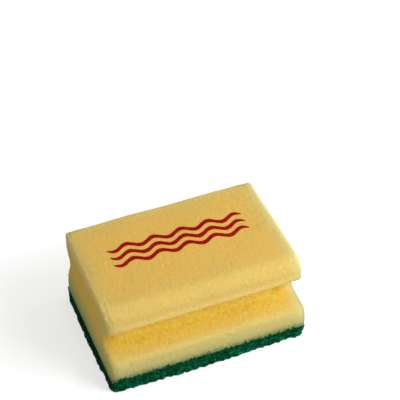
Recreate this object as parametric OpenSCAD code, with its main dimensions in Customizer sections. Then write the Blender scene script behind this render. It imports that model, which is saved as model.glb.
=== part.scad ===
// Cleaning sponge with finger grips: a foam block cut to a grip section, with
// a scouring pad bonded face to face under its base. The pad lies on Z = 0, X
// runs along the sponge, and the deep finger groove faces -Y. Heights in the
// foam's section are measured up from the pad, or down from the top.

/* [Sponge] */
// Length of the sponge
length = 95; // [70:1:140]
// Width of the foam at its base
base_w = 70; // [56:1:100]
// Height of the foam above the scouring pad
foam_h = 38.5; // [32:0.5:60]
// How far the foam's cut ends stand in from the pad's ends, at the pad
end_set = 0.5; // [0:0.25:3]
// How far each of those ends leans in further, from the pad up to the top
end_lean = 1; // [0:0.25:4]

/* [Front grip] */
// How far the head's front stands back from the base, at the top
front_head_set = 1; // [0:0.25:4]
// How far the head's lower lip stands back from the base
front_lip_set = 2.25; // [0:0.25:5]
// Height of the head's front, from the top down to its lip
front_head_h = 12; // [9:0.5:14]
// Depth of the finger groove, to the point where its walls would meet
front_groove_depth = 17; // [10:0.5:22]
// Height of that point above the pad
front_groove_up = 15; // [12:0.5:18]
// How far the shelf's edge stands back from the base
front_shelf_set = 0.5; // [0:0.25:3]
// Height of the shelf's edge above the pad
front_shelf_h = 10; // [7:0.5:11]

/* [Back grip] */
// How far the head's back stands back from the base, at the top
back_head_set = 5.5; // [3:0.25:9]
// How far the head's lower lip stands back from the base
back_lip_set = 4.5; // [2:0.25:8]
// Height of the head's back, from the top down to its lip
back_head_h = 8.75; // [6:0.25:10]
// Depth of the finger groove, to the point where its walls would meet
back_groove_depth = 9.5; // [7:0.25:14]
// Height of that point above the pad
back_groove_up = 22.5; // [18:0.5:24]
// How far the shelf's edge stands back from the base
back_shelf_set = 1.5; // [0:0.25:4]
// Height of the shelf's edge above the pad
back_shelf_h = 9.5; // [6:0.5:13]

/* [Rounding] */
// Radius of the head's top front edge
front_top_r = 7; // [2:0.5:8]
// Radius of the front lip
front_lip_r = 3; // [1:0.25:4]
// Radius at the bottom of the front groove
front_groove_r = 3.5; // [1:0.25:5]
// Radius of the front shelf's edge
front_shelf_r = 3; // [1:0.25:5]
// Radius of the head's top back edge
back_top_r = 1; // [0.5:0.25:4]
// Radius of the back lip
back_lip_r = 4; // [0.5:0.25:5]
// Radius at the bottom of the back groove
back_groove_r = 3; // [1:0.25:6]
// Radius of the back shelf's edge
back_shelf_r = 4; // [1:0.25:8]

/* [Scouring pad] */
// Thickness of the scouring pad
pad_t = 6.5; // [4:0.5:12]
// Radius of the pad's corners, seen from above
pad_corner_r = 2; // [0.5:0.25:2.5]
// How far the pad's cut edges sway inwards, slowly, all round
pad_sway = 1.6; // [0:0.1:2]
// How far they waver inwards as well, quickly, between the corners
pad_waver = 0.4; // [0:0.1:1.5]
// Distance between two points of the pad's wavering edge
waver_step = 3; // [3:0.5:8]

/* [Hidden] */

half_w = base_w / 2;
foot_x = length / 2 - end_set;
top_z = pad_t + foam_h;
// Straight pieces in each rounded edge
arc_steps = 6;
// The waves that the pad's edge follows, as degrees in each millimetre along it:
// the slow one, and two quick ones, with the second one's start
sway_turn = 2.73;
wave_a = 41;
wave_b = 23.5;
wave_b_start = 180;

// Corners of the foam's section as [y, z, radius], round from the top front
section = [
    [front_head_set - half_w, top_z, front_top_r],
    [front_lip_set - half_w, top_z - front_head_h, front_lip_r],
    [front_groove_depth - half_w, pad_t + front_groove_up, front_groove_r],
    [front_shelf_set - half_w, pad_t + front_shelf_h, front_shelf_r],
    [-half_w, pad_t, 0],
    [half_w, pad_t, 0],
    [half_w - back_shelf_set, pad_t + back_shelf_h, back_shelf_r],
    [half_w - back_groove_depth, pad_t + back_groove_up, back_groove_r],
    [half_w - back_lip_set, top_z - back_head_h, back_lip_r],
    [half_w - back_head_set, top_z, back_top_r]
];

function unit(v) = v / norm(v);
function place(corner) = [corner[0], corner[1]];
function turned(v, angle) = [
    v[0] * cos(angle) - v[1] * sin(angle),
    v[0] * sin(angle) + v[1] * cos(angle)
];

// The arc that rounds a corner, between the corners before and after it
function rounded(before, corner, after) =
    corner[2] == 0 ? [place(corner)] :
    let (
        back = unit(place(before) - place(corner)),
        ahead = unit(place(after) - place(corner)),
        half = acos(back * ahead) / 2,
        centre = place(corner) + unit(back + ahead) * corner[2] / sin(half),
        start = place(corner) + back * corner[2] / tan(half) - centre,
        turn = -sign(cross(back, ahead)) * (180 - 2 * half)
    )
    [for (i = [0:arc_steps]) centre + turned(start, turn * i / arc_steps)];

function rounded_outline(corners) =
    let (last = len(corners) - 1)
    [for (i = [0:last])
        each rounded(corners[i == 0 ? last : i - 1], corners[i],
            corners[i == last ? 0 : i + 1])];

// How far in from its straight line the pad's edge lies, s millimetres round
// it: by its slow wave, and by its quick ones
function sway(s) = pad_sway * (1 - sin(sway_turn * s)) / 2;
function waver(s) =
    let (waves = sin(wave_a * s) + sin(wave_b * s + wave_b_start))
    pad_waver * (2 + waves) / 4;

// One side of the pad, from corner a towards corner b, as [x, y, radius]. Both
// corners are drawn in by the sway. The quick waves leave out the first and the
// last step.
function pad_side(a, b, lap) =
    let (
        run = norm(b - a),
        ahead = (b - a) / run,
        inward = [-ahead[1], ahead[0]],
        start_sway = sway(lap),
        end_sway = sway(lap + run),
        start = a + (inward + ahead) * start_sway,
        end = b + (inward - ahead) * end_sway,
        pieces = ceil(run / waver_step)
    )
    [
        [start[0], start[1], pad_corner_r],
        for (i = [1:pieces - 1])
            let (
                share = i / pieces,
                s = lap + run * share,
                plain = start_sway * (1 - share) + end_sway * share,
                quick = i == 1 || i == pieces - 1 ? 0 : waver(s),
                spot = start * (1 - share) + end * share
                    + inward * (sway(s) - plain + quick)
            )
            [spot[0], spot[1], 0]
    ];

module foam_section() {
    polygon(rounded_outline(section));
}

// Side view of the block, which narrows towards the top by the ends' lean
module end_cuts() {
    polygon([
        [-foot_x, pad_t],
        [foot_x, pad_t],
        [foot_x - end_lean, top_z],
        [end_lean - foot_x, top_z]
    ]);
}

module foam_body() {
    color("#e2bf66")
    intersection() {
        rotate([90, 0, 90])
        translate([0, 0, -foot_x])
        linear_extrude(2 * foot_x)
        foam_section();

        rotate([90, 0, 0])
        translate([0, 0, -half_w])
        linear_extrude(base_w)
        end_cuts();
    }
}

module scouring_pad() {
    x = length / 2;
    color("#124931")
    linear_extrude(pad_t)
    polygon(rounded_outline([
        each pad_side([-x, -half_w], [x, -half_w], 0),
        each pad_side([x, -half_w], [x, half_w], length),
        each pad_side([x, half_w], [-x, half_w], length + base_w),
        each pad_side([-x, half_w], [-x, -half_w], 2 * length + base_w)
    ]));
}

foam_body();
scouring_pad();
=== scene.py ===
"""A cleaning sponge with finger grips, lying on its scouring pad on a white sweep.

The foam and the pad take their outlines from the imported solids. All lengths here are in
millimetres, in the part's own frame, and become metres where a mesh is made.
"""

import math

import bpy
import numpy as np
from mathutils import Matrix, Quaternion, Vector


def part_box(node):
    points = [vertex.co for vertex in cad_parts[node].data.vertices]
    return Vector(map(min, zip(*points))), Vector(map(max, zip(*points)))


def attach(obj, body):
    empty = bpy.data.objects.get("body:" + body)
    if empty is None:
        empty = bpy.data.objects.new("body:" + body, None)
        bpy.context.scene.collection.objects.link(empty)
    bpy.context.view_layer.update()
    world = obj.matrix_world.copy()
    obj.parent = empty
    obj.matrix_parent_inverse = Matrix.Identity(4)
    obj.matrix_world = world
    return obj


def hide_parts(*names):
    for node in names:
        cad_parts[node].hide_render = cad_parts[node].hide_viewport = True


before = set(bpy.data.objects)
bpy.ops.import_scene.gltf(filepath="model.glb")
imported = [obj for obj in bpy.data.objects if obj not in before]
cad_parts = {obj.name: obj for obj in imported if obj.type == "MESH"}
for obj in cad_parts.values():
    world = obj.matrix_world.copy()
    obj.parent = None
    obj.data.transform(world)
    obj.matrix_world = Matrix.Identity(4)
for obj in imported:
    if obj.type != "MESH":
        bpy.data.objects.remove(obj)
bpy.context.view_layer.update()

MM = 0.001
FOAM = "foam_body"
PAD = "scouring_pad"

# Camera, read off the photograph: its place round the sponge in degrees, the point it looks at,
# how far off it stands, and its focal length in pixels of a picture 400 pixels wide
CAMERA_AZIMUTH = -17.9
CAMERA_ELEVATION = 39.35
CAMERA_ROLL = -3.98
CAMERA_AIM = (28.4, 51.8, 22.5)
CAMERA_DISTANCE = 795.7
FOCAL_PIXELS = 1613.7
PICTURE_PIXELS = 400
SENSOR = 36.0

# Foam skin: points up, across and along it; passes that round all its edges, and those of its cut
# ends; and how far from the ends the second ones go
FOAM_UP, FOAM_ACROSS, FOAM_ALONG = 116, 104, 160
FOAM_SOFTENING, END_SOFTENING, END_SOFT_REACH = 5, 14, 5.0
# How softly light rolls over the cut ends' edges, as passes that even out the way the skin faces,
# and the distances from the ends between which that fades out
LIGHT_SOFTENING, LIGHT_SOFT_REACH = 80, (5.0, 12.0)
# The cuts aren't quite square: how far the block's right end stands out at each height above the
# pad, and how much is missing at the back of the sponge's left end
RIGHT_CUT = ((0.0, 0.0), (3.0, 0.8), (9.5, 1.0), (12.0, 0.2),
             (16.0, 0.1), (27.0, 0.9), (34.0, 1.1), (38.5, 0.5))
SHORT_CORNER = 0.4
# How uneven the faces are: a slow swell, ripples and pores, each with its span, how rare the pores
# are, and how far up from the pad the bond holds the foam even
FOAM_SWELL, FOAM_SWELL_SPAN = 0.06, 30.0
FOAM_RIPPLE, FOAM_RIPPLE_SPAN = 0.025, 3.0
PORE_DEPTH, PORE_SPAN, PORE_RARITY = 0.3, 2.2, 1.5
BOND_REACH = 3.0
# How far the foam is pressed into the web
SEAM_SINK = 0.3

# The size of a foam cell as drawn, and an open one's colour and its share
FOAM_CELL, CELL_COLOUR, CELL_SHARE = 0.75, "#cb9c3c", 0.2
# How far light spreads in the foam, and the foam's colours with that light painted in, paler at thin
# edges where light comes through and warmer deep inside where it bounces: the share of foam round a
# point, and the colour there; and how far that share is mottled
LIGHT_REACH, MOTTLE = 6.0, 0.3
FOAM_AND_PAINTED_LIGHT_COLOURS = ((0.28, "#e0c773"), (0.40, "#e2bf66"), (0.50, "#e9bd5f"), (0.60, "#ecc14e"))
# The mottled colours in a groove, painted warm light bounced there, and in its deepest part, painted
# brighter against the shade under the lip; how deep a full groove is, the shares of that between
# which each colour comes in, and how far from the left and the right end they do
GROOVE_BOUNCE_LIGHT_COLOURS, GROOVE_FULL = ((0.3, "#ddb437"), (0.7, "#e9cf59")), 13.0
DEEP_GROOVE_LIGHT_COLOURS = ((0.3, "#f0c344"), (0.7, "#fbdd69"))
GROOVE_IN, DEEP_IN = (0.0, 0.7), (0.65, 0.95)
GROOVE_FADE_LEFT, GROOVE_FADE_RIGHT = 8.0, 14.0
# Along a lip, a lighter colour painted against the shade under it: how deep in the groove it starts,
# how far below that the colour is full, and how far the colour goes
LIP_LIGHT_COLOUR, LIP_START, LIP_BELOW, LIP_REACH = "#f8d67c", 0.3, 1.5, 5.0
# On the base: a paler colour, painted light for the whiter light its face gets below the warm
# groove, its share, and the heights above the pad between which it fades out
BASE_LIGHT_COLOUR, BASE_SHARE, BASE_REACH = "#d1c681", 0.65, (6.5, 12.5)
# How far up the foam is darkened and greened above the pad, a painted shade, the foam's colour
# there, and the strength of that haze between its streaks and what a streak adds; and how far up the
# web's fibres stick into the foam, their colour, the share of that height between tufts and what a
# tuft adds, and how many fewer the sawn ends have
PAD_SHADE_REACH, PAD_SHADE_COLOUR = 1.7, "#80945f"
HAZE_PLAIN, HAZE_STREAK = 1.3, 1.5
TEETH_HEIGHT, TEETH_COLOUR = 1.6, "#1d4a22"
TUFT_PLAIN, TUFT_MORE, TEETH_LESS = 0.4, 0.6, 0.7
# On the cut ends: how far round their edges their colours go; low down, a painted green shade in
# the pad's green light, the heights above the pad between which the colour fades out; and high up, a
# painted bright band where light comes through the top edge, the depths below the top between which
# it fades out, and its share
END_MASK = 2.5
END_SHADE_REACH, END_SHADE_COLOUR = (2.0, 20.0), "#b4b568"
END_TOP_REACH, END_TOP_LIGHT_COLOUR, END_TOP_SHARE = (1.0, 8.0), "#fade88", 0.6
# How far from the right end light comes through the foam from outside, painted in as a paler colour,
# the foam's colour there and its share; and how far in the rim at the very edge goes, painted greyer
# where the lamps' light falls on it, and its colour
PALE_END_REACH, PALE_END_COLOUR, PALE_END_SHARE = 6.5, "#d3cb88", 0.85
LIT_RIM_REACH, LIT_RIM_COLOUR = 2.4, "#c2c18c"
# Where the first of these stops on the cut face itself, as shares of foam round a point and of
# facing the end, and where the second one does, as a share of facing the end
DEEP_FACE, FACING_END, RIM_FACING = (0.3, 0.48), (0.5, 0.9), (0.6, 0.95)

# Generic wave print on the top: its middle and length, the waves along it, the height of one, the
# distance between two lines, the number of lines, the width of a line and how suddenly it tapers
# at its ends, how soft its rim is, the depths below the top where it begins, and the colour
PRINT_MIDDLE = (1.0, 3.2)
PRINT_LENGTH = 66.0
WAVE_COUNT = 5
WAVE_HEIGHT = 1.5
WAVE_PITCH = 5.2
WAVE_LINES = 3
WAVE_WIDTH, WAVE_TAPER = 2.7, 12.0
INK_RIM, INK_DEPTHS, INK_COLOUR = 0.12, (1.5, 1.0), "#a00100"

# The distance between two points of the pad's outline, and the passes that round its corners
RIM_STEP, RIM_SOFTENING = 0.25, 12
# Scouring web's edge: the radius of its lower corner; how far it is turned up off the table; how
# far it stands out at the ends and at the sides; how far it may go to reach the foam's foot, and
# how far inside that it stays; how far down from the foam it is on its own; how much fuller the
# front right corner is, how far round it, and how much of that is gone lower down; and its fraying
EDGE_ROUND = 0.45
EDGE_LIFT, EDGE_LIFT_SPAN = 0.2, 5.5
EDGE_FULL_ENDS, EDGE_FULL_SIDES = 0.6, 1.05
EDGE_BESIDE_FOAM, EDGE_INSIDE_FOOT, EDGE_FREE = 1.7, 0.2, 2.0
FULL_CORNER, FULL_CORNER_REACH, FULL_CORNER_LOSS = 1.4, 4.5, 0.8
EDGE_FRAY, EDGE_FRAY_SPAN = 0.22, 4.0
# Its dense inside: how far it lies under the skin, its lumps and knots, the distance between two
# points, how far its rings follow the skin in under the pad and how many millimetres' worth of
# them then close it, and how far it stays above the table
WEB_SINK = 0.55
WEB_LUMP, WEB_LUMP_SPAN = 0.28, 2.6
WEB_KNOT, WEB_KNOT_SPAN = 0.14, 1.5
WEB_STEP = 0.65
WEB_UNDER, WEB_CLOSING, WEB_OFF_TABLE = 5.0, 30.0, 0.15
# Its fibres: their radius, the rings along one and the sides round it, how many there are in a
# piece, how far in from the pad's far corners those under it begin and may reach, and how far those
# that cross the seam rise up the foam
FIBRE_RADIUS = 0.14
FIBRE_RINGS, SEAM_RINGS = 10, 6
FIBRE_SIDES = 3
RIM_FIBRES, SOLE_FIBRES, SEAM_FIBRES = 3300, 3000, 1600
SOLE_MARGIN, SOLE_EDGE = 4.0, 1.5
SEAM_LIFT, SEAM_LIFT_SPAN = 0.12, 2.2
# The fibres' colours by their shade, in the grit on them, in dark patches, and painted shade right
# under the foam and at the pad's ends; and the colours of the tangle inside, painted shade with glints
FIBRE_COLOURS = ((0.0, "#05492c"), (0.5, "#088052"), (0.8, "#11a46d"), (1.0, "#22bf88"))
GRIT_COLOUR, PATCH_COLOUR = "#034528", "#02301c"
UNDER_FOAM_SHADE_COLOUR, PAD_END_SHADE_COLOUR = "#06300d", "#021f0a"
TANGLE_SHADE_COLOURS = ("#001a0d", "#023a22")

# Light: the key lamp and a weaker one at the right, the sky, and the floor's grey, its own
# brightness to the camera and its reach
KEY_PLACE, KEY_SIZE, KEY_WATTS = (430.0, -450.0, 480.0), 400.0, 4.3
SIDE_PLACE, SIDE_SIZE, SIDE_WATTS = (620.0, -100.0, 400.0), 400.0, 1.15
LAMP_AIM = (0.0, 0.0, 20.0)
SKY_STRENGTH = 0.42
FLOOR_SHADE, FLOOR_GLOW, FLOOR_REACH = 0.6, 0.6, 3000.0

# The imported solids' far corners and the foam's foot, and how far it is down the pad's cut edge and
# round its lower corner
FOAM_FAR = np.array(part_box(FOAM)[1]) / MM
PAD_FAR = np.array(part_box(PAD)[1]) / MM
FOAM_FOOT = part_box(FOAM)[0].z / MM
PAD_TOP = PAD_FAR[2]
SIDE_RUN = PAD_TOP - EDGE_ROUND
CORNER_RUN = EDGE_ROUND * math.pi / 2.0


def linear(code):
    """A hex colour as Blender's linear numbers: the sRGB curve is undone for each channel."""
    values = [int(code[i:i + 2], 16) / 255 for i in (1, 3, 5)]
    return (*[v / 12.92 if v <= 0.04045 else ((v + 0.055) / 1.055) ** 2.4 for v in values], 1.0)


def unit(vectors):
    """Each vector divided by its own length."""
    return vectors / np.maximum(np.linalg.norm(vectors, axis=-1, keepdims=True), 1e-9)


def smooth(low, high, values):
    """0 below low, 1 above high, and the curve 3x^2 - 2x^3 between."""
    x = np.clip((values - low) / (high - low), 0.0, 1.0)
    return x * x * (3.0 - 2.0 * x)


def ripples(points, span, seed, count=40):
    """A smooth random field with a spread of about 1: the sum of count sine waves, each span long,
    that run in random directions with random phases."""
    rng = np.random.default_rng(seed)
    ways = unit(rng.normal(size=(count, points.shape[-1])))
    phases = rng.uniform(0.0, 2.0 * math.pi, count)
    return np.sin(points @ ways.T * (2.0 * math.pi / span) + phases).sum(-1) * math.sqrt(2.0 / count)


def make_piece(name, points, faces, material, smooth_faces=True):
    """A mesh object with its place in its mesh, from points in millimetres and equal-sided faces."""
    mesh = bpy.data.meshes.new(name)
    sides = faces.shape[1]
    mesh.vertices.add(len(points))
    mesh.vertices.foreach_set("co", (points * MM).astype(np.float32).ravel())
    mesh.loops.add(faces.size)
    mesh.loops.foreach_set("vertex_index", faces.astype(np.int32).ravel())
    mesh.polygons.add(len(faces))
    mesh.polygons.foreach_set("loop_start", np.arange(0, faces.size, sides, dtype=np.int32))
    mesh.update(calc_edges=True)
    mesh.validate()
    mesh.polygons.foreach_set("use_smooth", np.full(len(mesh.polygons), smooth_faces))
    mesh.materials.append(material)
    piece = bpy.data.objects.new(name, mesh)
    bpy.context.collection.objects.link(piece)
    return piece


def add_values(piece, name, values):
    """A number or a direction at every point of a piece, for its material to read."""
    kind, field = ("FLOAT", "value") if values.ndim == 1 else ("FLOAT_VECTOR", "vector")
    layer = piece.data.attributes.new(name, kind, "POINT")
    layer.data.foreach_set(field, values.astype(np.float32).ravel())


def lattice_skin(up, across, along):
    """The skin of a lattice of points: six grids, welded where they share points. Gives each
    point's place as fractions down, across and along, and the quads, facing outwards."""
    places, quads = [], []
    shape = (up, across, along)
    number = np.arange(up * across * along).reshape(shape)
    for axis in range(3):
        for end in (0, -1):
            sheet = np.take(number, end, axis=axis)
            ring = [sheet[:-1, :-1], sheet[:-1, 1:], sheet[1:, 1:], sheet[1:, :-1]]
            turned = (axis == 1) == (end == 0)
            quads.append(np.stack(ring[::-1] if turned else ring, axis=-1).reshape(-1, 4))
    quads = np.concatenate(quads)
    used, quads = np.unique(quads, return_inverse=True)
    places = np.stack(np.unravel_index(used, shape), axis=-1) / (np.array(shape) - 1.0)
    return places, quads.reshape(-1, 4)


def point_normals(points, quads):
    """Each point's normal: the sum of its quads' normals, each the cross product of the diagonals."""
    a, b, c, d = (points[quads[:, i]] for i in range(4))
    face = np.cross(c - a, d - b)
    total = [np.bincount(quads.ravel(), np.repeat(face[:, i], 4), len(points)) for i in range(3)]
    return unit(np.stack(total, -1))


def softened(points, quads, held, passes):
    """Rounds edges: in each pass every point that isn't held goes half way to its neighbours' mean."""
    pairs = np.concatenate([quads[:, [0, 1]], quads[:, [1, 2]], quads[:, [2, 3]], quads[:, [3, 0]]])
    near = np.bincount(pairs[:, 0], minlength=len(points))[:, None]
    for _ in range(passes):
        total = [np.bincount(pairs[:, 0], points[pairs[:, 1], i], len(points)) for i in range(3)]
        points = np.where(held[:, None], points, (points + np.stack(total, -1) / near) / 2.0)
    return points


def solid_points(node):
    """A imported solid's corner points, in millimetres."""
    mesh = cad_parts[node].data
    places = np.empty(len(mesh.vertices) * 3)
    mesh.vertices.foreach_get("co", places)
    return places.reshape(-1, 3) / MM


def even_steps(line, count):
    """count points at even distances along a line of points."""
    run = np.concatenate([[0.0], np.cumsum(np.linalg.norm(np.diff(line, axis=0), axis=1))])
    at = np.linspace(0.0, run[-1], count)
    return np.stack([np.interp(at, run, line[:, i]) for i in range(line.shape[1])], axis=-1)


def side_outline(corners, side, count):
    """One long side of the foam's section as even points from the top down, each y, z. The section
    has one front and one back edge at every height, so its corners in order of height are the line."""
    line = np.unique(corners[corners[:, 1] * side > 0][:, 1:].round(4), axis=0)
    order = np.lexsort((side * line[:, 0] * (line[:, 1] - line[:, 1].mean()), -line[:, 1]))
    return even_steps(line[order], count)


def blur(steps, reach):
    """A matrix that blurs values at even steps with a bell curve of the given reach."""
    weights = np.exp(-0.5 * ((steps[:, None] - steps) / reach) ** 2)
    return weights / weights.sum(1, keepdims=True)


def foam_round(points, front, back):
    """The share of foam round each point, about 0.5 on a flat face, less at an edge and more in a
    groove: the section is drawn on a fine grid and blurred, and so is the run between the ends."""
    fine = 0.25
    along, across, up = (np.arange(low, high, fine) for low, high in ((-65, 65), (-50, 50), (-15, 65)))
    y_front = np.interp(up, front[::-1, 1], front[::-1, 0])[:, None]
    y_back = np.interp(up, back[::-1, 1], back[::-1, 0])[:, None]
    height = (up[:, None] > front[-1, 1]) & (up[:, None] < front[0, 1])
    section = ((across > y_front) & (across < y_back) & height).astype(float)
    section = blur(up, LIGHT_REACH) @ section @ blur(across, LIGHT_REACH).T
    run = blur(along, LIGHT_REACH) @ (np.abs(along) < np.abs(points[:, 0]).max()).astype(float)
    row = np.rint((points[:, 2] - up[0]) / fine).astype(int)
    column = np.rint((points[:, 1] - across[0]) / fine).astype(int)
    return section[row, column] * np.interp(points[:, 0], along, run)


def groove_depth(line, side):
    """How deep each point of a side outline lies inside the straight lines that join its outer
    points: the furthest out that a line from any point above it to any point below it passes."""
    out, up = line[:, 0] * side, line[:, 1]
    above, here, below = out[:, None, None], up[None, :, None], out[None, None, :]
    run = np.maximum(up[:, None, None] - up[None, None, :], 1e-6)
    share = np.clip((up[:, None, None] - here) / run, 0.0, 1.0)
    spans = (up[:, None, None] >= here) & (here >= up[None, None, :])
    chords = np.where(spans, above + (below - above) * share, -1e6)
    return chords.max(axis=(0, 2)) - out


def lip_share(line, side):
    """1 just under the lip of a side outline, in the groove's beginning, and 0 from LIP_REACH on."""
    run = np.concatenate([[0.0], np.cumsum(np.linalg.norm(np.diff(line, axis=0), axis=1))])
    lip = run[np.argmax(groove_depth(line, side) > LIP_START)] + LIP_BELOW
    return 1.0 - smooth(1.0, LIP_REACH, np.abs(run - lip))


def short_cornered(points):
    """The left end's cut goes in towards the back: each point goes right, by its share of the way
    to the left end times the square of its share of the way to the back."""
    left = np.clip(0.5 - points[..., 0] / PAD_FAR[0] / 2.0, 0.0, 1.0)
    back = np.clip(0.5 + points[..., 1] / PAD_FAR[1] / 2.0, 0.0, 1.0)
    moved = points.copy()
    moved[..., 0] += SHORT_CORNER * left * back ** 2
    return moved


def plain_block(corners, places, front, back):
    """The block before any unevenness, and how far each point is from the nearer cut end. Its
    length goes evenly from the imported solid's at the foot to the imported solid's at the top."""
    u, v, w = places.T
    row = np.rint(u * (FOAM_UP - 1)).astype(int)
    yz = front[row] + (back - front)[row] * v[:, None]
    top, foot = corners[:, 2].max(), corners[:, 2].min()
    reach_top = np.abs(corners[corners[:, 2] > top - 0.01][:, 0]).max()
    reach_foot = np.abs(corners[corners[:, 2] < foot + 0.01][:, 0]).max()
    reach = reach_foot + (reach_top - reach_foot) * (yz[:, 1] - foot) / (top - foot)
    points = np.column_stack([reach * (2.0 * w - 1.0), yz])
    return points, reach - np.abs(points[:, 0])


def uneven_faces(points, normals, underside):
    """Gives the faces their swell, ripples and pores, and presses the underside into the web."""
    swell = FOAM_SWELL * ripples(points, FOAM_SWELL_SPAN, 11)
    ripple = FOAM_RIPPLE * ripples(points, FOAM_RIPPLE_SPAN, 12)
    pores = PORE_DEPTH * np.clip(ripples(points, PORE_SPAN, 13, 60) - PORE_RARITY, 0.0, 1.0)
    free = smooth(FOAM_FOOT, FOAM_FOOT + BOND_REACH, points[:, 2])
    points = points + normals * ((swell + ripple) * free - pores * ~underside)[:, None]
    points[:, 2] -= SEAM_SINK * underside
    return points


def uneven_cuts(points, w):
    """Moves the cut ends: the right one stands out as RIGHT_CUT says, evened out over 2 mm, and
    each point follows by its share w of the way there. The left one is short at the back."""
    above = points[:, 2] - FOAM_FOOT
    right = sum(np.interp(above + shift, *zip(*RIGHT_CUT)) for shift in (-1.0, 0.0, 1.0)) / 3.0
    points[:, 0] += right * w * smooth(0.0, 1.0, above)
    return short_cornered(points)


def foam_values(points, normals, places, front, back, from_end):
    """What the foam's material reads at each point. foam_round is the share of foam round it,
    near_lip and groove_depth say how near a lip and how deep in a groove it is, and cut_end,
    pale_end and lit_rim are 1 at the ends and fall to 0 away from them."""
    u, v, w = places.T
    row = np.rint(u * (FOAM_UP - 1)).astype(int)
    in_front, behind = v < 0.001, v > 0.999
    depth = groove_depth(front, -1)[row] * in_front + groove_depth(back, 1)[row] * behind
    near_lip = lip_share(front, -1)[row] * in_front + lip_share(back, 1)[row] * behind
    in_groove = np.clip(depth / GROOVE_FULL, 0.0, 1.0)
    groove_fade = GROOVE_FADE_LEFT + (GROOVE_FADE_RIGHT - GROOVE_FADE_LEFT) * w
    around = foam_round(points, front, back)
    faces_end = np.abs(normals[:, 0])
    thin = 1.0 - smooth(*DEEP_FACE, around) * smooth(*FACING_END, faces_end)
    beside_end = 1.0 - smooth(*RIM_FACING, faces_end)
    return {
        "foam_round": around,
        "near_lip": near_lip * smooth(0.0, 3.0, from_end),
        "groove_depth": in_groove * smooth(0.0, 1.0, from_end / groove_fade),
        "cut_end": 1.0 - smooth(0.0, END_MASK, from_end),
        "pale_end": (1.0 - smooth(0.0, PALE_END_REACH, from_end)) * thin * (w > 0.5),
        "lit_rim": (1.0 - smooth(0.0, LIT_RIM_REACH, from_end)) * beside_end * (w > 0.5),
    }


def soft_facing(points, quads, normals, underside, from_end):
    """The way the skin faces the light: its normals, which near the cut ends are turned as far as
    evened-out normals would be, so that light rolls softly over the edges."""
    facing = normals * ~underside[:, None]
    turned = unit(softened(facing, quads, from_end > LIGHT_SOFT_REACH[1], LIGHT_SOFTENING)) - facing
    turned = turned * (1.0 - smooth(*LIGHT_SOFT_REACH, from_end))[:, None]
    return unit(point_normals(points, quads) * ~underside[:, None] + turned)


def foam_shape():
    """The foam block. Height fraction u picks a point on the section's front and back edges, across
    fraction v goes straight from one to the other, and along fraction w runs between the cut ends."""
    corners = solid_points(FOAM)
    front = side_outline(corners, -1, FOAM_UP)
    back = side_outline(corners, 1, FOAM_UP)
    places, quads = lattice_skin(FOAM_UP, FOAM_ACROSS, FOAM_ALONG)
    underside = places[:, 0] > 0.999
    points, from_end = plain_block(corners, places, front, back)
    points = softened(points, quads, underside, FOAM_SOFTENING)
    points = softened(points, quads, underside | (from_end > END_SOFT_REACH), END_SOFTENING)
    normals = point_normals(points, quads)
    points = uneven_faces(points, normals, underside)
    values = foam_values(points, normals, places, front, back, from_end)
    points = uneven_cuts(points, places[:, 2])
    values["light_way"] = soft_facing(points, quads, normals, underside, from_end)
    return points, quads, values


def pad_outline():
    """The pad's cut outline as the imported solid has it, a closed ring of corners in order of angle."""
    corners = solid_points(PAD)
    ring = np.unique(corners[corners[:, 2] < 0.01][:, :2].round(3), axis=0)
    reach = ring.max(0)
    ring = ring[np.argsort(np.arctan2(ring[:, 1] / reach[1], ring[:, 0] / reach[0]))]
    return np.concatenate([ring, ring[:1]])


class Rim:
    """The pad's outline as a path: a place on it for each distance round it, and the way out."""

    def __init__(self):
        ring = pad_outline()
        length = np.linalg.norm(np.diff(ring, axis=0), axis=1).sum()
        self.places = even_steps(ring, int(length / RIM_STEP))[:-1]
        for _ in range(RIM_SOFTENING):
            before, after = np.roll(self.places, 1, 0), np.roll(self.places, -1, 0)
            self.places = (self.places * 2.0 + before + after) / 4.0
        ahead = unit(np.roll(self.places, -1, 0) - np.roll(self.places, 1, 0))
        self.ways_out = np.column_stack([ahead[:, 1], -ahead[:, 0]])
        self.length = length

    def at(self, s):
        """The outline's place and its outward direction, s millimetres round it."""
        spot = (s / self.length % 1.0) * len(self.places)
        low = np.floor(spot).astype(int) % len(self.places)
        high = (low + 1) % len(self.places)
        part = (spot - np.floor(spot))[..., None]
        place = self.places[low] * (1.0 - part) + self.places[high] * part
        out = unit(self.ways_out[low] * (1.0 - part) + self.ways_out[high] * part)
        return place, out


RIM = Rim()


def edge_lift(places):
    """How far the pad's ragged lower edge is turned up off the table at a place."""
    field = ripples(places, EDGE_LIFT_SPAN, 21) + 0.6 * ripples(places, EDGE_LIFT_SPAN / 2.7, 22)
    return EDGE_LIFT * np.clip(0.5 + 0.7 * field, 0.0, 3.0)


def fullness(place, out, run):
    """How far the pad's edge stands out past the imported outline: less at the ends than at the
    sides, frayed, more at the front right corner, and growing from nothing at the foam."""
    side = out[..., 1] ** 2
    fine_fray = 0.5 * EDGE_FRAY * ripples(place, EDGE_FRAY_SPAN / 2.5, 24)
    fray = EDGE_FRAY * ripples(place, EDGE_FRAY_SPAN, 23) + fine_fray
    plain = EDGE_FULL_ENDS + (EDGE_FULL_SIDES - EDGE_FULL_ENDS) * side
    corner = np.linalg.norm(place - FOAM_FAR[:2] * [1.0, -1.0], axis=-1)
    rise = smooth(0.0, EDGE_FREE, run) - FULL_CORNER_LOSS * smooth(EDGE_FREE, SIDE_RUN, run)
    full_corner = FULL_CORNER * np.exp(-(corner / FULL_CORNER_REACH) ** 2) * rise
    return (plain + fray * (0.4 + 0.6 * side)) * smooth(-0.5, EDGE_FREE, run) + full_corner


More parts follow.
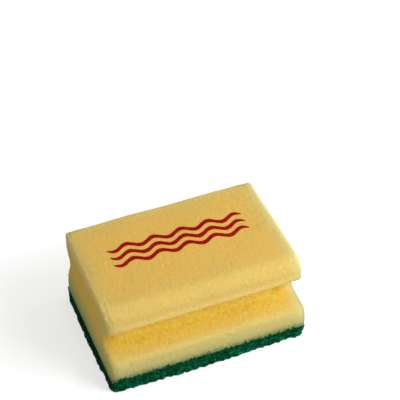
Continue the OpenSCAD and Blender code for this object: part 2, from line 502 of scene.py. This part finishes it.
def web_skin(s, run, deep):
    """A place on the pad's skin. s goes round the outline. run goes down the cut edge from the
    foam, round the lower edge on a quarter circle, and in along the underside. deep is the depth
    under the skin. Gives the place and the outward direction there."""
    place, out = RIM.at(s)
    bend = np.clip((run - SIDE_RUN) / EDGE_ROUND, 0.0, math.pi / 2.0)
    inward = np.clip(run - SIDE_RUN - CORNER_RUN, 0.0, None) + EDGE_ROUND * (1.0 - np.cos(bend))
    height = PAD_TOP - np.minimum(run, SIDE_RUN) - EDGE_ROUND * np.sin(bend)
    free = smooth(3.0, SIDE_RUN + CORNER_RUN, run) * (1.0 - smooth(1.0, 6.0, inward))
    normal = np.concatenate([out * np.cos(bend)[..., None], -np.sin(bend)[..., None]], axis=-1)
    near_foam = (1.0 - smooth(0.0, EDGE_FREE, run))[..., None]
    short_by = np.clip(FOAM_FAR[:2] - EDGE_INSIDE_FOOT - np.abs(place), 0.0, EDGE_BESIDE_FOAM)
    beyond = np.sign(place) * short_by * (np.abs(out) > 0.4) * near_foam
    flat = place + out * (fullness(place, out, run) - inward)[..., None] + beyond
    skin = np.concatenate([flat, (height + edge_lift(place) * free)[..., None]], axis=-1)
    skin = skin + (short_cornered(skin) - skin) * near_foam
    return skin - normal * deep[..., None], normal


def sole_skin(x, y, deep):
    """A place on the pad's flat underside, deep millimetres above the table, and the way down."""
    normal = np.zeros((*x.shape, 3))
    normal[..., 2] = -1.0
    return np.stack([x, y, deep], axis=-1), normal


def web_hollows(places):
    """How far the dense inside of the web lies back at a place: small hollows between its knots."""
    lumps = WEB_LUMP * ripples(places, WEB_LUMP_SPAN, 31)
    return np.clip(WEB_SINK + lumps + WEB_KNOT * ripples(places, WEB_KNOT_SPAN, 32), 0.1, 1.4)


def web_core_shape():
    """The dense inside of the scouring web: rings round the pad, one under the other. They follow
    the skin, sunk a little, down the edge and under it, and shrink to a point above and below."""
    around = int(RIM.length / WEB_STEP)
    s = np.linspace(0.0, RIM.length, around, endpoint=False)
    runs = np.arange(0.0, SIDE_RUN + CORNER_RUN + WEB_UNDER, WEB_STEP)
    rings = []
    for run in runs:
        skin, normal = web_skin(s, np.full(around, run), np.zeros(around))
        rings.append(skin - normal * web_hollows(skin)[:, None] * min(1.0, 0.3 + run / 1.5))
    rings[0][:, 2] = PAD_TOP - SEAM_SINK
    for share in np.linspace(0.98, 0.0, int(WEB_CLOSING / WEB_STEP)):
        ring = rings[len(runs) - 1] * [share, share, 1.0]
        ring[:, 2] = WEB_OFF_TABLE + web_hollows(ring * [1.0, 1.0, 0.0])
        rings.append(ring)
    for share in (0.98, 0.6, 0.0):
        rings.insert(0, rings[0] * [share, share, 0.0] + [0.0, 0.0, PAD_TOP - SEAM_SINK])
    points = np.stack(rings)
    count = len(points)
    number = np.arange(count * around).reshape(count, around)
    number[0] = number[0, 0]
    number[-1] = number[-1, 0]
    after = np.roll(number, -1, axis=1)
    quads = np.stack([number[:-1], number[1:], after[1:], after[:-1]], -1).reshape(-1, 4)
    return points.reshape(-1, 3), quads


def fibre_tubes(skin, first, second, heading, length, bend, depth, rng, rings=FIBRE_RINGS):
    """Curly fibres on a skin, as three-sided tubes. On the skin's own two coordinates a fibre's
    heading turns evenly by bend and sways on a sine, and its depth sways on a slower one. Gives
    the points, the quads and a shade for each point, the same all along a fibre."""
    count = len(first)
    t = np.linspace(0.0, 1.0, rings)

    def each(low, high):
        """A random number for each fibre."""
        return rng.uniform(low, high, (count, 1))

    sway = each(0.2, 0.9) * np.sin(2.0 * math.pi * (t * each(0.8, 2.2) + each(0.0, 1.0)))
    way = heading[:, None] + bend[:, None] * (t - 0.5) + sway
    step = (length / (rings - 1))[:, None]
    start_a = first - np.cos(heading) * length / 2.0
    start_b = second - np.sin(heading) * length / 2.0
    a = start_a[:, None] + np.cumsum(np.cos(way) * step, axis=1)
    b = start_b[:, None] + np.cumsum(np.sin(way) * step, axis=1)
    waves = np.sin(2.0 * math.pi * (t * each(0.5, 1.8) + each(0.0, 1.0)))
    middle, normal = skin(a, b, depth[:, None] + 0.2 * waves)
    middle[..., 2] = np.maximum(middle[..., 2], 1.3 * FIBRE_RADIUS)
    ahead = unit(np.gradient(middle, axis=1))
    across = unit(np.cross(ahead, normal))
    over = np.cross(across, ahead)
    thick = FIBRE_RADIUS * each(0.7, 1.25) * (1.0 - 0.45 * np.abs(2.0 * t - 1.0) ** 3)
    turn = 2.0 * math.pi * np.arange(FIBRE_SIDES) / FIBRE_SIDES + math.pi / 2.0
    ring = across[:, :, None] * np.cos(turn)[:, None] + over[:, :, None] * np.sin(turn)[:, None]
    points = middle[:, :, None] + ring * thick[:, :, None, None]
    number = np.arange(points[..., 0].size).reshape(points.shape[:3])
    beside = np.roll(number, -1, axis=2)
    quads = np.stack([number[:, :-1], beside[:, :-1], beside[:, 1:], number[:, 1:]], -1).reshape(-1, 4)
    shade = np.broadcast_to(each(0.0, 1.0)[..., None], points.shape[:3])
    return points.reshape(-1, 3), quads, shade.reshape(-1)


def seam_skin(s, run, deep):
    """The pad's skin for fibres that may cross the seam: above it they lie on the foam, and what
    would rise far above it is bent back, here more and there less."""
    uneven = np.clip(0.6 + ripples(RIM.at(s)[0], SEAM_LIFT_SPAN, 25), 0.0, 4.0)
    above = np.minimum(run - SEAM_SINK, 0.0)
    run = np.maximum(run, SEAM_SINK) + SEAM_LIFT * uneven * np.tanh(above / SEAM_LIFT)
    return web_skin(s, run, np.where(run < 0.8, np.minimum(deep, -0.1), deep))


def rim_fibres(seed, low, high):
    """Fibres on the cut edge and round the lower edge, between two distances round the outline.
    The web is laid flat, so most run along the edge."""
    rng = np.random.default_rng(seed)
    s = rng.uniform(low, high, RIM_FIBRES)
    run = rng.uniform(0.7, SIDE_RUN + CORNER_RUN + 4.5, RIM_FIBRES)
    heading = rng.normal(0.0, 0.6, RIM_FIBRES) + math.pi * rng.integers(0, 2, RIM_FIBRES)
    length = rng.uniform(4.0, 9.0, RIM_FIBRES)
    bend = rng.normal(0.0, 2.2, RIM_FIBRES)
    depth = rng.uniform(-0.05, 0.6, RIM_FIBRES)
    return fibre_tubes(seam_skin, s, run, heading, length, bend, depth, rng)


def seam_fibres(seed):
    """Short loose fibres all round the seam, in every direction. They lap up over the foam."""
    rng = np.random.default_rng(seed)
    s = rng.uniform(0.0, RIM.length, SEAM_FIBRES)
    run = rng.normal(0.8, 0.45, SEAM_FIBRES)
    heading = rng.uniform(0.0, 2.0 * math.pi, SEAM_FIBRES)
    length = rng.uniform(1.0, 2.6, SEAM_FIBRES)
    bend = rng.normal(0.0, 1.6, SEAM_FIBRES)
    depth = rng.uniform(-0.1, 0.1, SEAM_FIBRES)
    return fibre_tubes(seam_skin, s, run, heading, length, bend, depth, rng, SEAM_RINGS)


def sole_fibres(seed, low, high):
    """Fibres on the flat underside, between two places along the pad, in every direction. Those
    that would stick out past the pad are left out."""
    rng = np.random.default_rng(seed)
    reach_y = PAD_FAR[1] - SOLE_MARGIN
    x = rng.uniform(low, high, SOLE_FIBRES)
    y = rng.uniform(-reach_y, reach_y, SOLE_FIBRES)
    heading = rng.uniform(0.0, 2.0 * math.pi, SOLE_FIBRES)
    length = rng.uniform(5.0, 10.0, SOLE_FIBRES)
    bend = rng.normal(0.0, 2.6, SOLE_FIBRES)
    depth = rng.uniform(0.32, 0.75, SOLE_FIBRES)
    points, quads, shade = fibre_tubes(sole_skin, x, y, heading, length, bend, depth, rng)
    spots = points.reshape(SOLE_FIBRES, -1, 3)
    kept = (np.abs(spots[..., :2]) < PAD_FAR[:2] - SOLE_EDGE).all(axis=(1, 2))
    quads = np.arange(kept.sum())[:, None, None] * spots.shape[1] + quads.reshape(SOLE_FIBRES, -1, 4)[:1]
    return spots[kept].reshape(-1, 3), quads.reshape(-1, 4), shade.reshape(SOLE_FIBRES, -1)[kept].ravel()


def new_material(name):
    """An empty material with its surface shader and output joined."""
    material = bpy.data.materials.new(name)
    material.use_nodes = True
    tree = material.node_tree
    tree.nodes.clear()
    shader = tree.nodes.new("ShaderNodeBsdfPrincipled")
    output = tree.nodes.new("ShaderNodeOutputMaterial")
    tree.links.new(shader.outputs[0], output.inputs[0])
    return material, tree, shader


def add(tree, kind, inputs=None, **settings):
    """Adds a node, sets its properties, and gives each named or numbered input a value or a link."""
    node = tree.nodes.new(kind)
    for name, value in settings.items():
        setattr(node, name, value)
    for name, value in (inputs or {}).items():
        socket = node.inputs[name]
        if isinstance(value, bpy.types.NodeSocket):
            tree.links.new(value, socket)
        else:
            socket.default_value = value
    return node


def math_node(tree, operation, *values, clamp=False):
    """A Math node's result."""
    inputs = dict(enumerate(values))
    return add(tree, "ShaderNodeMath", inputs, operation=operation, use_clamp=clamp).outputs[0]


def product(tree, result, *others):
    """Several values multiplied, one after the other."""
    for other in others:
        result = math_node(tree, "MULTIPLY", result, other)
    return result


def own_value(tree, name):
    """A number that the piece holds at each of its points."""
    return add(tree, "ShaderNodeAttribute", attribute_name=name).outputs["Fac"]


def between(tree, value, low, high, steps="SMOOTHSTEP"):
    """0 below low and 1 above high, or the other way round where low is the greater."""
    inputs = {"Value": value, "From Min": low, "From Max": high}
    return add(tree, "ShaderNodeMapRange", inputs, interpolation_type=steps).outputs[0]


def blend_colours(tree, share, first, second):
    """Mixes two colours, each a link or a hex code, by a share."""
    node = add(tree, "ShaderNodeMix", data_type="RGBA", blend_type="MIX")
    sockets = [s for s in node.inputs if s.enabled]
    for socket, value in zip(sockets, (share, first, second)):
        if isinstance(value, bpy.types.NodeSocket):
            tree.links.new(value, socket)
        else:
            socket.default_value = linear(value) if isinstance(value, str) else value
    return [s for s in node.outputs if s.enabled][0]


def ramp(tree, value, stops):
    """A colour that goes smoothly through the stops, each a place and a hex code."""
    node = add(tree, "ShaderNodeValToRGB", {"Fac": value})
    for _ in stops[2:]:
        node.color_ramp.elements.new(0.5)
    for element, (place, code) in zip(node.color_ramp.elements, stops):
        element.position = place
        element.color = linear(code)
    return node.outputs[0]


def noise(tree, where, size_mm, detail, rough):
    """Noise whose main lumps are size_mm across, with detail finer layers over them, each rough
    times as strong as the one before."""
    inputs = {"Vector": where, "Scale": 1.0 / (size_mm * MM), "Detail": detail, "Roughness": rough}
    return add(tree, "ShaderNodeTexNoise", inputs).outputs["Fac"]


def finish_surface(tree, shader, colour, bumps, roughness, ior, gloss):
    """Gives a shader its colour and its bumps, and says how rough and how glossy it is."""
    bump = add(tree, "ShaderNodeBump", bumps)
    tree.links.new(colour, shader.inputs["Base Color"])
    tree.links.new(bump.outputs[0], shader.inputs["Normal"])
    shader.inputs["Roughness"].default_value = roughness
    shader.inputs["IOR"].default_value = ior
    shader.inputs["Specular IOR Level"].default_value = gloss


def wave_print(tree, x, y, z):
    """Where the top's generic print lies: a few wavy lines, one beside the other. A line is where
    y, less a sine of x, is within half a line's width of a whole number of pitches. A line's width
    goes with the square root of 1 less a high power of the way to its end."""
    along = math_node(tree, "SUBTRACT", x, PRINT_MIDDLE[0] * MM)
    across = math_node(tree, "SUBTRACT", y, PRINT_MIDDLE[1] * MM)
    phase = product(tree, along, 2.0 * math.pi * WAVE_COUNT / (PRINT_LENGTH * MM))
    crest = product(tree, math_node(tree, "SINE", phase), WAVE_HEIGHT * MM)
    level = math_node(tree, "SUBTRACT", across, crest)
    off = math_node(tree, "PINGPONG", level, WAVE_PITCH * MM / 2.0)
    inside = (WAVE_LINES - 1) / 2.0 * WAVE_PITCH + WAVE_WIDTH
    within = math_node(tree, "LESS_THAN", math_node(tree, "ABSOLUTE", level), inside * MM)
    end = math_node(tree, "DIVIDE", math_node(tree, "ABSOLUTE", along), PRINT_LENGTH * MM / 2.0)
    taper = math_node(tree, "SUBTRACT", 1.0, math_node(tree, "POWER", end, WAVE_TAPER), clamp=True)
    half = product(tree, math_node(tree, "SQRT", taper), WAVE_WIDTH * MM / 2.0)
    ink = between(tree, math_node(tree, "SUBTRACT", off, half), INK_RIM * MM, -INK_RIM * MM)
    on_top = between(tree, z, *((FOAM_FAR[2] - below) * MM for below in INK_DEPTHS))
    return product(tree, ink, within, on_top)


def foam_tones(tree, mottle, open_cell):
    """The foam's colour with painted light in it: paler at thin edges, where light comes through,
    warm and mottled in the grooves, where light bounces, dark in open cells, and lighter along the lips."""
    unevenness = math_node(tree, "SUBTRACT", mottle, 0.5)
    # Painted light: the share of foam round a point makes thin edges paler and hollows warmer
    share = math_node(tree, "MULTIPLY_ADD", unevenness, MOTTLE, own_value(tree, "foam_round"))
    depth = own_value(tree, "groove_depth")
    # Painted light: warm light bounced in the grooves, brighter deep in them against the shade under the
    # lip
    shallow, deep = ramp(tree, mottle, GROOVE_BOUNCE_LIGHT_COLOURS), ramp(tree, mottle, DEEP_GROOVE_LIGHT_COLOURS)
    groove = blend_colours(tree, between(tree, depth, *DEEP_IN), shallow, deep)
    in_groove = between(tree, depth, *GROOVE_IN, "LINEAR")
    colour = blend_colours(tree, in_groove, ramp(tree, share, FOAM_AND_PAINTED_LIGHT_COLOURS), groove)
    colour = blend_colours(tree, product(tree, open_cell, CELL_SHARE), colour, CELL_COLOUR)
    # Painted light: a lighter colour along each lip, against the shade under it
    return blend_colours(tree, own_value(tree, "near_lip"), colour, LIP_LIGHT_COLOUR)


def end_tones(tree, colour, height, cut_end):
    """Adds painted light and shade to the base and the ends: light that comes through the right end,
    its lit rim, the paler base, and on the cut ends painted green shade below and a painted bright top."""
    # Painted light: paler near the right end, where light comes through the foam
    pale = product(tree, own_value(tree, "pale_end"), PALE_END_SHARE)
    colour = blend_colours(tree, pale, colour, PALE_END_COLOUR)
    # Painted light: a paler base face
    base = between(tree, height, BASE_REACH[1] * MM, BASE_REACH[0] * MM)
    colour = blend_colours(tree, product(tree, base, BASE_SHARE), colour, BASE_LIGHT_COLOUR)
    # Painted light: greyer along the right end's rim, where the lamps' light falls
    colour = blend_colours(tree, own_value(tree, "lit_rim"), colour, LIT_RIM_COLOUR)
    # Painted shade: darker and greener low on the cut ends
    low = between(tree, height, END_SHADE_REACH[1] * MM, END_SHADE_REACH[0] * MM)
    colour = blend_colours(tree, product(tree, low, cut_end), colour, END_SHADE_COLOUR)
    # Painted light: a bright band high on the cut ends, where light comes through the top edge
    foam_height = FOAM_FAR[2] - FOAM_FOOT
    starts, full = ((foam_height - below) * MM for below in END_TOP_REACH[::-1])
    high = product(tree, between(tree, height, starts, full), cut_end, END_TOP_SHARE)
    return blend_colours(tree, high, colour, END_TOP_LIGHT_COLOUR)


def web_in_foam(tree, colour, where, height, cut_end):
    """Adds painted shade above the pad: a streaky green haze that darkens the foam and fades upwards,
    and the web's fibre tips, in tufts of hairs. The sawn ends have fewer."""
    upright = add(tree, "ShaderNodeMapping", {"Vector": where, "Scale": (1.0, 1.0, 0.35)}).outputs[0]
    streaks = between(tree, noise(tree, upright, 0.8, 2.0, 0.6), 0.3, 0.7, "LINEAR")
    # Painted shade: the foam darker and greener just above the pad, fading upwards
    haze = math_node(tree, "EXPONENT", math_node(tree, "DIVIDE", height, -PAD_SHADE_REACH * MM))
    strength = math_node(tree, "MULTIPLY_ADD", streaks, HAZE_STREAK, HAZE_PLAIN)
    haze = math_node(tree, "MULTIPLY", haze, strength, clamp=True)
    colour = blend_colours(tree, haze, colour, PAD_SHADE_COLOUR)
    tufts = between(tree, noise(tree, upright, 2.4, 1.0, 0.5), 0.35, 0.65, "LINEAR")
    hairs = between(tree, noise(tree, upright, 0.8, 1.0, 0.5), 0.38, 0.62, "LINEAR")
    tuft_height = math_node(tree, "MULTIPLY_ADD", tufts, TUFT_MORE, TUFT_PLAIN)
    tips = product(tree, tuft_height, hairs, TEETH_HEIGHT * MM)
    teeth = between(tree, math_node(tree, "SUBTRACT", tips, height), -0.1 * MM, 0.3 * MM)
    fewer = math_node(tree, "MULTIPLY_ADD", cut_end, -TEETH_LESS, 1.0)
    return blend_colours(tree, product(tree, teeth, fewer), colour, TEETH_COLOUR)


def foam_material():
    """Fine open-cell polyurethane foam, sawn: matt, a little see-through at its edges, speckled by
    its cut cells, and warmer in the grooves, painted light bounced there. Real cells are about
    0.4 mm and are drawn larger, so that they show."""
    material, tree, shader = new_material("sawn_polyurethane_foam")
    where = add(tree, "ShaderNodeTexCoord").outputs["Object"]
    x, y, z = add(tree, "ShaderNodeSeparateXYZ", {"Vector": where}).outputs
    height = math_node(tree, "SUBTRACT", z, FOAM_FOOT * MM)
    cut_end = own_value(tree, "cut_end")
    cells = add(tree, "ShaderNodeTexVoronoi", {"Vector": where, "Scale": 1.0 / (FOAM_CELL * MM)})
    open_cell = between(tree, cells.outputs["Distance"], 0.5, 0.05)
    grain = noise(tree, where, 0.5, 2.0, 0.6)
    colour = foam_tones(tree, noise(tree, where, 1.7, 2.0, 0.7), open_cell)
    colour = end_tones(tree, colour, height, cut_end)
    colour = web_in_foam(tree, colour, where, height, cut_end)
    ink = product(tree, wave_print(tree, x, y, z), between(tree, grain, 0.15, 0.4))
    colour = blend_colours(tree, ink, colour, INK_COLOUR)
    relief = math_node(tree, "MULTIPLY_ADD", open_cell, -1.0, grain)
    way = add(tree, "ShaderNodeAttribute", attribute_name="light_way").outputs["Vector"]
    inputs = {"Height": relief, "Strength": 0.6, "Distance": 0.25 * MM, "Normal": way}
    finish_surface(tree, shader, colour, inputs, roughness=0.95, ior=1.5, gloss=0.05)
    shader.inputs["Subsurface Weight"].default_value = 0.3
    shader.inputs["Subsurface Radius"].default_value = (1.8 * MM, 1.2 * MM, 0.5 * MM)
    shader.inputs["Subsurface Scale"].default_value = 1.0
    return material


def fibre_material():
    """Crimped nylon fibres coated with resin and abrasive grit: dark green, a little shiny, and
    painted darker under the foam and at the pad's ends, a painted shade where less light comes."""
    material, tree, shader = new_material("resin_coated_nylon_fibre")
    where = add(tree, "ShaderNodeTexCoord").outputs["Object"]
    x, _, z = add(tree, "ShaderNodeSeparateXYZ", {"Vector": where}).outputs
    grit = noise(tree, where, 0.5, 2.0, 0.6)
    colour = ramp(tree, own_value(tree, "shade"), FIBRE_COLOURS)
    colour = blend_colours(tree, between(tree, grit, 0.45, 0.7), colour, GRIT_COLOUR)
    patches = between(tree, noise(tree, where, 2.4, 2.0, 0.6), 0.42, 0.62)
    colour = blend_colours(tree, product(tree, patches, 0.6), colour, PATCH_COLOUR)
    # Painted shade: fibres darker right under the foam
    under_foam = between(tree, z, (PAD_TOP - 3.5) * MM, PAD_TOP * MM)
    colour = blend_colours(tree, product(tree, under_foam, 0.6), colour, UNDER_FOAM_SHADE_COLOUR)
    # Painted shade: fibres darker at the pad's ends
    far = math_node(tree, "ABSOLUTE", x)
    at_end = between(tree, far, (PAD_FAR[0] - 1.2) * MM, (PAD_FAR[0] - 0.2) * MM)
    colour = blend_colours(tree, product(tree, at_end, 0.7), colour, PAD_END_SHADE_COLOUR)
    bumps = {"Height": grit, "Strength": 0.5, "Distance": 0.08 * MM}
    finish_surface(tree, shader, colour, bumps, roughness=0.6, ior=1.53, gloss=0.04)
    return material


def web_material():
    """The tangle under the outer fibres, painted nearly dark as the shade between them, with lighter
    patches painted as a few fibres that catch the light.
    """
    material, tree, shader = new_material("scouring_web_inside")
    where = add(tree, "ShaderNodeTexCoord").outputs["Object"]
    tangle = noise(tree, where, 0.9, 4.0, 0.65)
    # Painted shade and glints: near-black with lighter patches
    colour = blend_colours(tree, between(tree, tangle, 0.4, 0.7), *TANGLE_SHADE_COLOURS)
    bumps = {"Height": tangle, "Strength": 0.9, "Distance": 0.4 * MM}
    finish_surface(tree, shader, colour, bumps, roughness=0.9, ior=1.5, gloss=0.05)
    return material


def seen_plainly(tree):
    """1 for what the camera sees, directly, in a gloss or through the object, and 0 for its light."""
    path = add(tree, "ShaderNodeLightPath").outputs
    seen = math_node(tree, "MAXIMUM", path["Is Camera Ray"], path["Is Glossy Ray"])
    return math_node(tree, "MAXIMUM", seen, path["Is Transmission Ray"])


def floor_material():
    """Matt white paper that stays white to the camera and keeps the sponge's shadow."""
    material, tree, shader = new_material("white_paper_sweep")
    shader.inputs["Base Color"].default_value = (FLOOR_SHADE, FLOOR_SHADE, FLOOR_SHADE, 1.0)
    shader.inputs["Roughness"].default_value = 0.9
    shader.inputs["Specular IOR Level"].default_value = 0.0
    seen = math_node(tree, "MULTIPLY", seen_plainly(tree), FLOOR_GLOW)
    shader.inputs["Emission Color"].default_value = (1.0, 1.0, 1.0, 1.0)
    tree.links.new(seen, shader.inputs["Emission Strength"])
    return material


def dress(piece, slot, *replaced):
    """Says where a piece belongs: it rides on the one body, and may stand for a solid."""
    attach(piece, "root")
    if replaced:
        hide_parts(*replaced)


def add_camera():
    """The photograph's camera: it looks back along its azimuth and elevation, and is rolled."""
    a, e = math.radians(CAMERA_AZIMUTH), math.radians(CAMERA_ELEVATION)
    back = Vector((math.sin(a) * math.cos(e), -math.cos(a) * math.cos(e), math.sin(e)))
    data = bpy.data.cameras.new("camera")
    data.sensor_width = SENSOR
    data.lens = SENSOR * FOCAL_PIXELS / PICTURE_PIXELS
    data.clip_start, data.clip_end = 0.05, 20.0
    camera = bpy.data.objects.new("camera", data)
    camera.location = (Vector(CAMERA_AIM) + back * CAMERA_DISTANCE) * MM
    camera.rotation_mode = "QUATERNION"
    roll = Quaternion((0, 0, 1), math.radians(CAMERA_ROLL))
    camera.rotation_quaternion = back.to_track_quat("Z", "Y") @ roll
    bpy.context.collection.objects.link(camera)
    bpy.context.scene.camera = camera


def add_lamp(name, place, size, watts):
    """A square soft lamp that faces the middle of the sponge."""
    data = bpy.data.lights.new(name, "AREA")
    data.size = size * MM
    data.energy = watts
    lamp = bpy.data.objects.new(name, data)
    lamp.location = Vector(place) * MM
    lamp.rotation_mode = "QUATERNION"
    lamp.rotation_quaternion = (Vector(place) - Vector(LAMP_AIM)).to_track_quat("Z", "Y")
    bpy.context.collection.objects.link(lamp)


def add_stage():
    """The white floor, the lamps and the sky that fills the shade."""
    square = ((-1.0, -1.0, 0.0), (1.0, -1.0, 0.0), (1.0, 1.0, 0.0), (-1.0, 1.0, 0.0))
    corners = FLOOR_REACH * np.array(square)
    floor = make_piece("floor", corners, np.array([[0, 1, 2, 3]]), floor_material(), False)
    add_lamp("key", KEY_PLACE, KEY_SIZE, KEY_WATTS)
    add_lamp("side", SIDE_PLACE, SIDE_SIZE, SIDE_WATTS)
    world = bpy.data.worlds.new("sky")
    bpy.context.scene.world = world
    world.use_nodes = True
    tree = world.node_tree
    sky = tree.nodes["Background"]
    sky.inputs["Color"].default_value = (1.0, 1.0, 1.0, 1.0)
    strength = between(tree, seen_plainly(tree), 0.0, 1.0, "LINEAR")
    strength.node.inputs["To Min"].default_value = SKY_STRENGTH
    strength.node.inputs["To Max"].default_value = 1.0
    tree.links.new(strength, sky.inputs["Strength"])
    bpy.context.scene.view_settings.view_transform = "Standard"


def add_foam():
    """The foam block, with what its material reads at each point."""
    points, quads, values = foam_shape()
    foam = make_piece("foam_block", points, quads, foam_material())
    for name, numbers in values.items():
        add_values(foam, name, numbers)
    dress(foam, "foam", FOAM)


def add_pad():
    """The scouring pad: its dense inside and the fibres on its edge and underside."""
    points, quads = web_core_shape()
    core = make_piece("scouring_web", points, quads, web_material())
    dress(core, "scouring_web", PAD)
    fibre = fibre_material()
    half = RIM.length / 2.0
    reach = PAD_FAR[0] - SOLE_MARGIN
    tangles = {
        "edge_fibres_1": rim_fibres(41, 0.0, half),
        "edge_fibres_2": rim_fibres(42, half, 2.0 * half),
        "seam_fibres": seam_fibres(45),
        "underside_fibres_1": sole_fibres(43, -reach, 0.0),
        "underside_fibres_2": sole_fibres(44, 0.0, reach),
    }
    for name, (places, faces, shade) in tangles.items():
        piece = make_piece(name, places, faces, fibre)
        add_values(piece, "shade", shade)
        dress(piece, "scouring_web")


add_camera()
add_foam()
add_pad()
add_stage()
